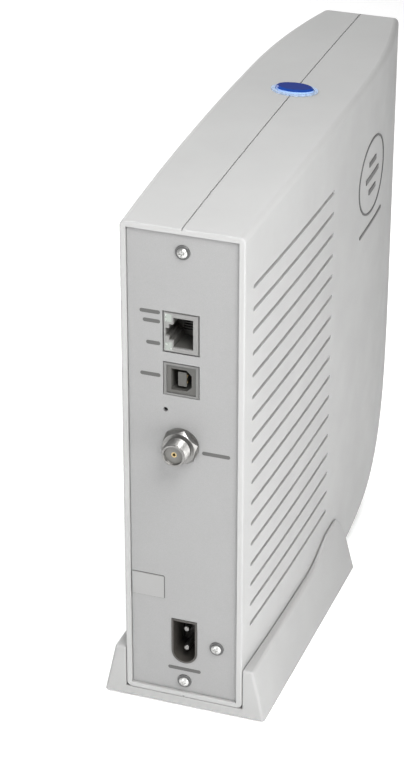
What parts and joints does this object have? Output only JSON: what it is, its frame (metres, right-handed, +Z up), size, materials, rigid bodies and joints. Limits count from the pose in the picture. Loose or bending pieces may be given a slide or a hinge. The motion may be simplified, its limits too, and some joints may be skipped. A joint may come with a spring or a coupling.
{
  "type": "cable modem",
  "caption": "Upright cable modem on a flared stand, with a rear port panel, side vent slots, a lit standby button on top and a status light window in its nose.",
  "frame": {"origin": "centre of the whole object's footprint box, on the surface it stands on", "axes": "+Z up, +Y from the port panel towards the nose with the status lights, +X to the right as the port panel is faced"},
  "size_m": [0.065, 0.2296, 0.2079],
  "materials": {
    "case_plastic": "fine moulded texture, warm light grey",
    "stand_plastic": "fine moulded texture, light grey",
    "panel_metal": "grey powder coat on sheet steel",
    "label_plastic": "blank raised plate",
    "screw_steel": "zinc plated",
    "washer_black": "blackened steel",
    "socket_plastic": "dark moulded socket",
    "jack_plastic": "light moulded frame",
    "socket_metal": "nickel plated sheet",
    "contact_metal": "gold flashed",
    "coax_metal": "nickel plated brass",
    "insulator_plastic": "off-white insulator",
    "inlet_plastic": "black moulded inlet",
    "button_blue": "deep blue, lit from behind",
    "bezel_clear": "pale blue translucent ring",
    "window_smoke": "smoked lens",
    "clear_plastic": "clear moulding",
    "light_body": "green lamp body",
    "board_green": "solder mask",
    "chip_black": "moulded package",
    "can_metal": "tinned sheet steel",
    "fin_metal": "extruded",
    "ferrite": "sintered, dark grey",
    "winding_copper": "enamelled wire under tape",
    "capacitor_sleeve": "shrunk sleeve",
    "fuse_glass": "clear tube",
    "plug_plastic": "natural nylon",
    "lead_insulation": "red insulation",
    "spring_steel": "drawn wire",
    "pad_rubber": "moulded pad",
    "badge_ink": "printed, dark grey"
  },
  "bodies": {
    "housing": {"left_shell": "case_plastic", "right_shell": "case_plastic", "port_panel": "panel_metal", "panel_screws": "screw_steel", "panel_washers": "washer_black", "label_plate": "label_plastic", "jack_frame": "jack_plastic", "jack_housing": "socket_plastic", "jack_shield": "socket_metal", "jack_contacts": "contact_metal", "jack_lights": "clear_plastic", "data_shell": "socket_metal", "data_insert": "socket_plastic", "data_contacts": "contact_metal", "coax_body": "coax_metal", "coax_insulator": "insulator_plastic", "coax_contact": "contact_metal", "coax_washer": "coax_metal", "coax_nut": "coax_metal", "tuner_can": "can_metal", "tuner_lid": "can_metal", "inlet_housing": "inlet_plastic", "inlet_pins": "coax_metal", "reset_switch": "chip_black", "standby_bezel": "bezel_clear", "button_guide": "case_plastic", "standby_spring": "spring_steel", "standby_switch": "chip_black", "front_window": "window_smoke", "light_guide": "clear_plastic", "status_lights": "light_body", "main_board": "board_green", "board_screws": "screw_steel", "processor": "chip_black", "heat_sink": "fin_metal", "memory_chips": "chip_black", "line_transformer": "chip_black", "crystal": "can_metal", "board_capacitors": "capacitor_sleeve", "supply_board": "board_green", "transformer_core": "ferrite", "transformer_winding": "winding_copper", "mains_capacitor": "capacitor_sleeve", "supply_heat_sink": "fin_metal", "power_transistor": "chip_black", "fuse_tube": "fuse_glass", "fuse_caps": "coax_metal", "filter_choke": "ferrite", "lead_plugs": "plug_plastic", "supply_lead": "lead_insulation", "stand": "stand_plastic", "stand_pads": "pad_rubber", "stand_screws": "screw_steel", "side_badges": "badge_ink"},
    "standby_key": {"standby_button": "button_blue", "standby_plunger": "label_plastic"},
    "reset_key": {"reset_button": "socket_plastic"}
  },
  "joints": [
    {"name": "standby_press", "type": "slide", "parent": "housing", "child": "standby_key", "axis": [0, 0, -1], "range_m": [0, 0.0012], "stiffness_N_per_m": 1200, "springref_m": -0.0004},
    {"name": "reset_press", "type": "slide", "parent": "housing", "child": "reset_key", "axis": [0, 1, 0], "range_m": [0, 0.0004], "stiffness_N_per_m": 3000, "springref_m": -0.0002}
  ]
}
